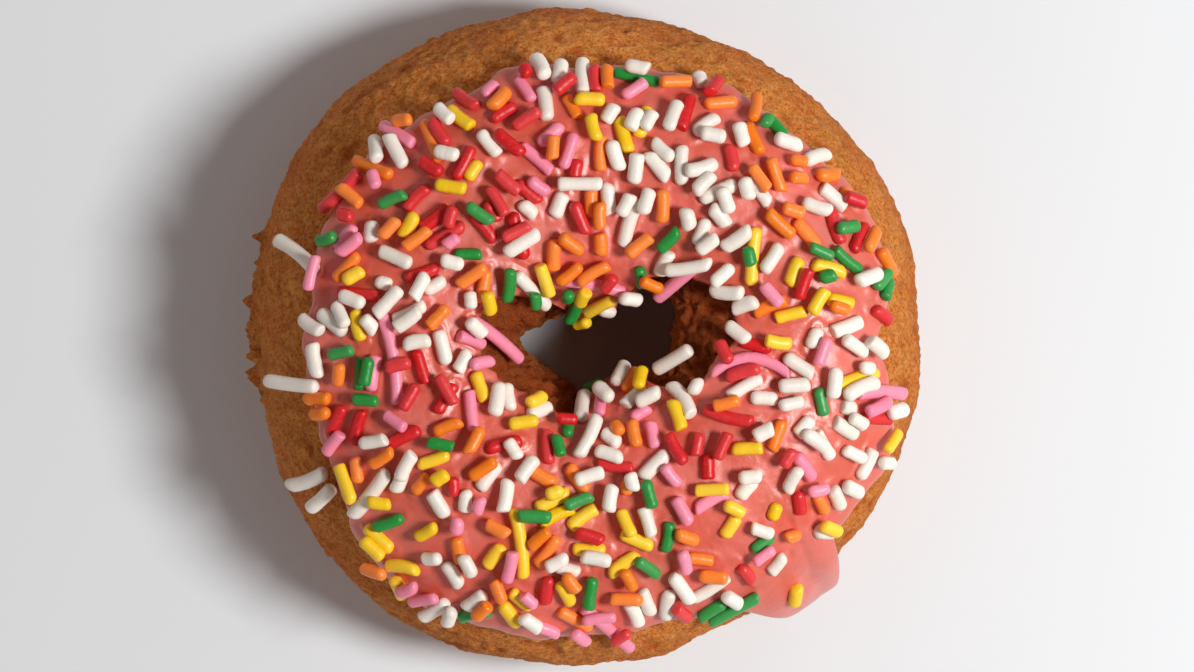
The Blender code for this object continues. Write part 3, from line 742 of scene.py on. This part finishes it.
def pressed_sugar(name, colour, settings):
    """Sugar and starch pressed through a die and glazed: a satin, waxy skin with faint grain.

    Each rod is a shade lighter or darker than the next, and pale where its glaze is worn.
    """
    material, tree, shader = new_material(
        f"{name} sugar sprinkle", Roughness=settings.roughness, IOR=1.5, Subsurface_Weight=0.05,
        Subsurface_Scale=0.0005, Subsurface_Radius=(1.0, 0.7, 0.5))
    place = add_node(tree, "ShaderNodeTexCoord").outputs["Object"]
    grain = add_node(tree, "ShaderNodeTexNoise", {
        "Vector": place, "Scale": 1 / SUGAR_GRAIN, "Detail": 2.0}).outputs[0]
    tone = add_node(tree, "ShaderNodeAttribute", attribute_name="tone").outputs["Fac"]
    deep = tuple(c * 0.88 for c in colour)
    tinted = add_node(tree, "ShaderNodeMix", {
        0: tone, 6: (*deep, 1), 7: (*paler(colour, 0.04), 1)}, data_type="RGBA").outputs[2]
    worn = add_node(tree, "ShaderNodeMapRange", {
        "Value": grain, "From Min": 0.58, "From Max": 0.8, "To Max": 0.25}).outputs[0]
    colour = add_node(tree, "ShaderNodeMix", {
        0: worn, 6: tinted, 7: (*paler(colour, 0.16), 1)}, data_type="RGBA").outputs[2]
    tree.links.new(colour, shader.inputs["Base Color"])
    bump = add_node(tree, "ShaderNodeBump", {"Height": grain, "Distance": SUGAR_BUMP})
    tree.links.new(bump.outputs[0], shader.inputs["Normal"])
    return material


def crag_height(points):
    """How far the torn crags stand out of the crust at each point."""
    total = np.zeros(points.shape[:-1])
    for degrees, height_mm, width_mm in CRAGS:
        angle, width = math.radians(degrees), width_mm * MM
        lift = (height_mm * MM - WAIST) / (HEIGHT - WAIST)
        middle = crust(angle, math.copysign(math.asin(min(1, abs(lift))), lift))
        away = np.linalg.norm(points - middle, axis=-1) / (CRAG_REACH * width)
        total = np.maximum(total, CRAG_HEIGHT * width * np.exp(-away ** 2))
    return total


def crumb_patches(angle, turn):
    """1 in the torn crumb that the icing leaves bare beside the hole."""
    inner = icing_edges(angle)[1]
    return np.clip((turn - inner) / TORN_EDGE + 0.5, 0, 1) * np.clip((OUT_OF_HOLE - turn), 0, 1)


def crust_surface(angle, turn, settings):
    """Points of the rough crust, and its values for the painted shade in its pits, for the darker sides
    and for torn crumb.
    """
    base, out = crust(angle, turn), crust_out(angle, turn)
    torn = crumb_patches(angle, turn)
    fine = noise_at(base, settings.grain, offset=3.0)
    crumbs = noise_at(base, CRUMB_GRAINS * settings.grain, "VORONOI_F2F1", 5.0)
    lumps = noise_at(base, LUMP_SIZE, offset=7.0)
    pores = noise_at(base, PORE_GRAINS * settings.grain, offset=11.0)
    pores = np.clip(pores - PORES_FROM, 0, 1) * PORE_GAIN
    crags = crag_height(base)
    rough = 1 + TORN_ROUGH * torn + CRAG_ROUGH * crags
    height = settings.relief * rough * (FINE_SHARE * fine + CRUMB_SHARE * crumbs
                                        + LUMP_SHARE * lumps - PORE_SHARE * pores)
    points = base + (height + crags)[..., None] * out
    points[..., 2] = np.maximum(points[..., 2], 0)
    # Painted shade: the hollows of the relief, its pores and the lows between crumbs, are darkened in
    # the colour
    between = np.clip(-fine - PIT_SHADE_FROM_CRUMBS * crumbs, 0, 1)
    painted_pit_shade = np.clip(PIT_SHADE_FROM_PORES * pores + PIT_SHADE_FROM_GRAIN * between, 0, 1)
    # Darker brown down the sides of the ring and in random patches over it, less in the hole
    low = np.clip((DARKER_BELOW - np.abs(np.sin(turn))) / DARKER_BELOW, 0, 1)
    patchy = DARK_PATCHINESS * noise_at(base, DARK_PATCH, offset=5.0)
    outside = np.clip(low * (1 + patchy) + DARK_ON_TOP * patchy, 0, 1)
    fried = np.where(np.cos(turn) > 0, outside, low * DARK_IN_HOLE)
    return points, (painted_pit_shade, fried, torn)


def make_crust(settings):
    """The ring of cake with its crumbs, pits and crags as relief in the mesh."""
    outer_rows = np.linspace(OUTER_FROM, OUTER_TO, OUTER_ROWS)
    parts = [np.linspace(low, high, count, endpoint=False) for low, high, count in INNER_ROWS]
    inner_rows = np.radians(np.concatenate(parts))
    points, values, faces, first = [], [], [], 0
    for rows, count in ((outer_rows, OUTER_COLUMNS), (inner_rows, INNER_COLUMNS)):
        columns = np.linspace(0, FULL, count, endpoint=False)
        turn, angle = np.meshgrid(rows, columns, indexing="ij")
        rough, felt = crust_surface(angle, turn, settings)
        points.append(rough.reshape(-1, 3))
        values.append(np.stack([value.ravel() for value in felt]))
        faces += grid_faces(first, count, len(rows))
        first += count * len(rows)
    outer = np.arange(OUTER_ROWS * OUTER_COLUMNS).reshape(OUTER_ROWS, OUTER_COLUMNS)
    inner = outer.size + np.arange(len(inner_rows) * INNER_COLUMNS).reshape(-1, INNER_COLUMNS)
    faces += joining_faces(outer[-1].tolist(), inner[0].tolist(), False)
    faces += joining_faces(outer[0].tolist(), inner[-1].tolist(), True)
    mesh = new_mesh("crust", np.concatenate(points), faces)
    for name, value in zip(("pit", "fried", "torn"), np.concatenate(values, 1)):
        add_values(mesh, name, value)
    return mesh


def distance_to_sprinkles(points, laid):
    """How far each point is from the nearest sprinkle's axis."""
    along = np.linspace(0, AXIS_POINTS - 1, FILLET_POINTS)
    first = np.minimum(along.astype(int), AXIS_POINTS - 2)
    part = (along - first)[:, None]
    spots = np.concatenate([a[first] + part * (a[first + 1] - a[first]) for a, _ in laid])
    tree = KDTree(len(spots))
    for number, spot in enumerate(spots):
        tree.insert(spot, number)
    tree.balance()
    away = [tree.find(point)[2] for point in points.reshape(-1, 3).tolist()]
    return np.array(away).reshape(points.shape[:-1])


def from_hole(points):
    """Places in plan from the middle of the hole, in mm."""
    return (points[..., 0] - HOLE_X) / MM, (points[..., 1] - HOLE_Y) / MM


def make_icing(settings, laid):
    """The skin of icing with its waves, wrinkles, pits and fillets round the sprinkles."""
    columns = np.linspace(0, FULL, ICING_COLUMNS, endpoint=False)
    even = np.linspace(0, 1, ICING_TOP_ROWS)
    top = (even + 0.5 - 0.5 * np.cos(math.pi * even)) / 2
    share, angle = np.meshgrid(np.concatenate([top, np.linspace(1, 0, ICING_UNDER_ROWS)]),
                               columns, indexing="ij")
    outer, inner = icing_edges(angle)
    ripple = sum(size * np.sin(waves * angle + shift) for size, waves, shift in EDGE_RIPPLES)
    outer = outer + EDGE_RIPPLE * ripple
    inner = inner + EDGE_RIPPLE * np.roll(ripple, ICING_COLUMNS // 3, 1)
    turn = outer + (inner - outer) * share
    base, out = crust(angle, turn), crust_out(angle, turn)
    thick = ICING_GAP + icing_thickness(angle, turn, outer, inner)
    surface = base + thick[..., None] * out

    inside = np.clip(np.minimum(share, 1 - share) / FLAT_AT_EDGE, 0, 1)
    x, y = from_hole(base)
    wrinkled = sum(np.exp(-((x - at_x) ** 2 + (y - at_y) ** 2) / size ** 2)
                   for at_x, at_y, size in WRINKLED_MM)
    small = noise_at(base, SMALL_WAVE_SIZE, offset=4.0)
    waves = noise_at(base, WAVE_SIZE) + SMALL_WAVE_SHARE * small
    waves = waves + wrinkled * WRINKLE * noise_at(base, WRINKLE_SIZE, offset=9.0)
    away = distance_to_sprinkles(surface, laid) - SPRINKLE_RADIUS
    rise = settings.fillet * np.exp(-(away / FILLET_REACH) ** 2)
    for at_x, at_y, size in BUBBLES_MM:
        dent = np.exp(-((x - at_x) ** 2 + (y - at_y) ** 2) / (size / 2) ** 2)
        rise = rise - BUBBLE_DEPTH * dent
    is_top = (np.arange(share.shape[0]) < ICING_TOP_ROWS)[:, None]
    lift = np.where(is_top, thick + inside * (settings.waves * waves + rise), -ICING_SUNK)
    points = base + lift[..., None] * out
    rows = share.shape[0]
    faces = grid_faces(0, ICING_COLUMNS, rows)
    last = (rows - 1) * ICING_COLUMNS
    faces += [(last + k, last + (k + 1) % ICING_COLUMNS, (k + 1) % ICING_COLUMNS, k)
              for k in range(ICING_COLUMNS)]
    mesh = new_mesh("icing", points, faces)
    spot = np.exp(-((x - THIN_MM[0]) ** 2 + (y - THIN_MM[1]) ** 2) / THIN_MM[2] ** 2)
    edge = np.clip(1 - np.minimum(share, 1 - share) / THIN_AT_EDGE, 0, 1) * (1 - drip(angle))
    add_values(mesh, "thin", np.clip(THIN_SPOT_SHARE * spot + THIN_EDGE_SHARE * edge, 0, 1))
    return mesh


def sprinkle_rings(radius, length, draw):
    """Where each ring is along a sprinkle and how wide it is, from a rounded or broken end."""
    ends = []
    for _ in range(2):
        tip = draw.choice(TIP_WIDTHS, p=TIP_SHARES)
        depth = radius * draw.uniform(0.7, 1.0) * (1.1 - 0.9 * tip)
        bends = np.linspace(0, math.pi / 2, END_RINGS)
        ends.append((depth * (1 - np.cos(bends)) / length, tip + (1 - tip) * np.sin(bends)))
    (low, low_wide), (high, high_wide) = ends
    middle = np.linspace(low[-1], 1 - high[-1], MIDDLE_RINGS + 2)[1:-1]
    place = np.concatenate([low, middle, (1 - high)[::-1]])
    wide = np.concatenate([low_wide, np.ones(MIDDLE_RINGS), high_wide[::-1]])
    waist = 1 + draw.uniform(-0.07, 0.04) * np.sin(math.pi * place)
    return place, wide * waist * (1 + draw.normal(0, 0.012, len(place)))


def sprinkle_points(axis, up, girth, draw):
    """Points of one sprinkle, ring by ring, and the two points at the middle of its ends."""
    first, second = axis[0], axis[-1]
    length = np.linalg.norm(second - first)
    forward = (second - first) / length
    sideways = np.cross(up, forward)
    sideways /= np.linalg.norm(sideways)
    upward = np.cross(forward, sideways)
    bow = axis[2] - (first + second) / 2
    if np.linalg.norm(bow) < LEAST_BOW:
        bow = sideways * draw.normal(0, UNEVEN_BOW) * length / USUAL_LENGTH
    radius = SPRINKLE_RADIUS * girth * draw.uniform(0.93, 1.06)
    place, wide = sprinkle_rings(radius, length, draw)
    around = np.arange(SIDES) * FULL / SIDES
    squash = draw.uniform(0.9, 1.0)
    slant = draw.normal(0, UNEVEN_CUT, 2)
    points = []
    for along, girth_there in zip(place, wide * radius):
        centre = first + along * (second - first) + 4 * along * (1 - along) * bow
        end = slant[0] * (1 - along) ** 4 - slant[1] * along ** 4
        lean = girth_there * end * np.cos(around)[:, None] * forward
        points.append(centre + lean + girth_there * (
            np.cos(around)[:, None] * sideways + squash * np.sin(around)[:, None] * upward))
    bulge = TIP_BULGE * radius * forward
    return np.concatenate([*points, [points[0].mean(0) - bulge, points[-1].mean(0) + bulge]])


def sprinkle_faces():
    """Faces of one sprinkle: quads between its rings, and a fan at each end."""
    rings = 2 * END_RINGS + MIDDLE_RINGS
    faces = grid_faces(0, SIDES, rings)
    tips, last = rings * SIDES, (rings - 1) * SIDES
    for k in range(SIDES):
        after = (k + 1) % SIDES
        faces += [(after, k, tips), (last + k, last + after, tips + 1)]
    return faces


def make_sprinkles(chosen, girth):
    """One mesh of all the sprinkles of a colour, from their numbers and axes."""
    shape = sprinkle_faces()
    points, faces, tones, start = [], [], [], 0
    for number, (axis, up) in chosen:
        draw = np.random.default_rng(FIRST_SPRINKLE + number)
        points.append(sprinkle_points(axis, up, girth, draw))
        faces += [tuple(start + vertex for vertex in face) for face in shape]
        tones += [draw.random()] * len(points[-1])
        start += len(points[-1])
    mesh = new_mesh("sprinkles", np.concatenate(points), faces)
    add_values(mesh, "tone", tones)
    return mesh


class DOUGHNUT_OT_crust(Operator):
    """Replaces the plain ring of cake with its crust"""
    bl_idname = "doughnut.crust"
    bl_label = "Fried Crust"

    def execute(self, context):
        settings = context.scene.doughnut_crust
        skin = add_piece("cake_crust", make_crust(settings), fried_crust(settings))
        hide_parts("dough")
        return {"FINISHED"}


class DOUGHNUT_OT_icing(Operator):
    """Replaces the plain icing with its glossy skin"""
    bl_idname = "doughnut.icing"
    bl_label = "Sugar Icing"

    def execute(self, context):
        settings = context.scene.doughnut_icing
        mesh = make_icing(settings, scatter_sprinkles())
        skin = add_piece("icing_skin", mesh, sugar_icing(settings))
        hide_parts("icing")
        return {"FINISHED"}


class DOUGHNUT_OT_sprinkles(Operator):
    """Adds the sprinkles, one piece for each colour"""
    bl_idname = "doughnut.sprinkles"
    bl_label = "Sprinkles"

    def execute(self, context):
        settings = context.scene.doughnut_sprinkles
        laid = scatter_sprinkles()[:settings.count]
        names = colour_of_each(laid)
        for colour in COLOURS:
            chosen = [(k, laid[k]) for k in range(len(laid)) if names[k] == colour]
            if not chosen:
                raise RuntimeError(f"there is no {colour} sprinkle to make")
            material = pressed_sugar(colour, tuple(getattr(settings, colour)), settings)
            mesh = make_sprinkles(chosen, GIRTHS[colour])
            add_piece(f"sprinkles_{colour}", mesh, material)
        return {"FINISHED"}


class DOUGHNUT_OT_stage(Operator):
    """Adds the pale floor, the soft lights and the camera"""
    bl_idname = "doughnut.stage"
    bl_label = "Studio"

    def execute(self, context):
        settings = context.scene.doughnut_stage
        make_floor(settings)
        make_key(settings)
        make_fill(settings)
        make_camera(settings)
        return {"FINISHED"}


def make_floor(settings):
    """A plain pale board, wide enough to fill every view."""
    material, tree, shader = new_material("painted board", Roughness=0.6)
    shader.inputs["Base Color"].default_value = (*settings.floor, 1)
    half = FLOOR_SIZE / 2
    corners = [(-half, -half, 0), (half, -half, 0), (half, half, 0), (-half, half, 0)]
    floor = bpy.data.objects.new("floor", new_mesh("floor", corners, [(0, 1, 2, 3)]))
    floor.data.materials.append(material)
    bpy.context.scene.collection.objects.link(floor)


def make_key(settings):
    """One large soft light at the right, which leaves a soft shadow on the left."""
    light = bpy.data.lights.new("key", "AREA")
    light.shape = "DISK"
    light.size = KEY_SIZE
    light.energy = settings.key_power
    light.color = KEY_TINT
    key = bpy.data.objects.new("key", light)
    bpy.context.scene.collection.objects.link(key)
    toward = Vector((math.cos(KEY_AZIMUTH) * math.cos(KEY_ELEVATION),
                     math.sin(KEY_AZIMUTH) * math.cos(KEY_ELEVATION), math.sin(KEY_ELEVATION)))
    key.location = KEY_DISTANCE * toward
    key.rotation_euler = toward.to_track_quat("Z", "Y").to_euler()


def make_fill(settings):
    """Light from all round, dimmest straight above, as under a dark ceiling."""
    world = bpy.data.worlds.new("studio")
    bpy.context.scene.world = world
    world.use_nodes = True
    tree = world.node_tree
    background = tree.nodes["Background"]
    background.inputs["Color"].default_value = (*FILL_TINT, 1)
    toward = add_node(tree, "ShaderNodeTexCoord").outputs["Generated"]
    height = add_node(tree, "ShaderNodeSeparateXYZ", {0: toward}).outputs["Z"]
    strength = add_node(tree, "ShaderNodeMapRange", {
        "Value": height, "From Min": DIM_FROM, "From Max": 1.0, "To Min": settings.fill,
        "To Max": settings.fill * DIMMEST}, interpolation_type="SMOOTHSTEP").outputs[0]
    tree.links.new(strength, background.inputs["Strength"])


def make_camera(settings):
    """A camera straight above, with a long lens."""
    camera = bpy.data.cameras.new("camera")
    view = bpy.data.objects.new("camera", camera)
    bpy.context.scene.collection.objects.link(view)
    pixel = MM / PIXELS_PER_MM
    view.location = (HOLE_X - HOLE_RIGHT * pixel, HOLE_Y + HOLE_BELOW * pixel, settings.distance)
    camera.sensor_width = SENSOR_MM
    camera.lens = SENSOR_MM * (settings.distance - WAIST) / (FRAME_WIDTH / PIXELS_PER_MM * MM)
    camera.clip_start = 0.01
    bpy.context.scene.camera = view
    bpy.context.scene.view_settings.view_transform = "Standard"


STEPS = {"doughnut.stage": "doughnut_stage", "doughnut.crust": "doughnut_crust",
         "doughnut.icing": "doughnut_icing", "doughnut.sprinkles": "doughnut_sprinkles"}


class DOUGHNUT_PT_panel(Panel):
    """Lists the doughnut's pieces and their settings"""
    bl_label = "Doughnut"
    bl_idname = "DOUGHNUT_PT_panel"
    bl_space_type = "VIEW_3D"
    bl_region_type = "UI"
    bl_category = "Doughnut"

    def draw(self, context):
        for operator, group in STEPS.items():
            box = self.layout.box()
            box.operator(operator)
            settings = getattr(context.scene, group)
            for name in settings.__annotations__:
                box.prop(settings, name)


GROUPS = {"doughnut_crust": CrustSettings, "doughnut_icing": IcingSettings,
          "doughnut_sprinkles": SprinkleSettings, "doughnut_stage": StageSettings}
CLASSES = (*GROUPS.values(), DOUGHNUT_OT_crust, DOUGHNUT_OT_icing, DOUGHNUT_OT_sprinkles,
           DOUGHNUT_OT_stage, DOUGHNUT_PT_panel)


def register():
    for each in CLASSES:
        bpy.utils.register_class(each)
    for name, group in GROUPS.items():
        setattr(bpy.types.Scene, name, PointerProperty(type=group))


def unregister():
    for name in GROUPS:
        delattr(bpy.types.Scene, name)
    for each in reversed(CLASSES):
        bpy.utils.unregister_class(each)


def main():
    register()
    bpy.ops.doughnut.stage()
    bpy.ops.doughnut.crust()
    bpy.ops.doughnut.icing()
    bpy.ops.doughnut.sprinkles()


if __name__ == "__main__":
    main()
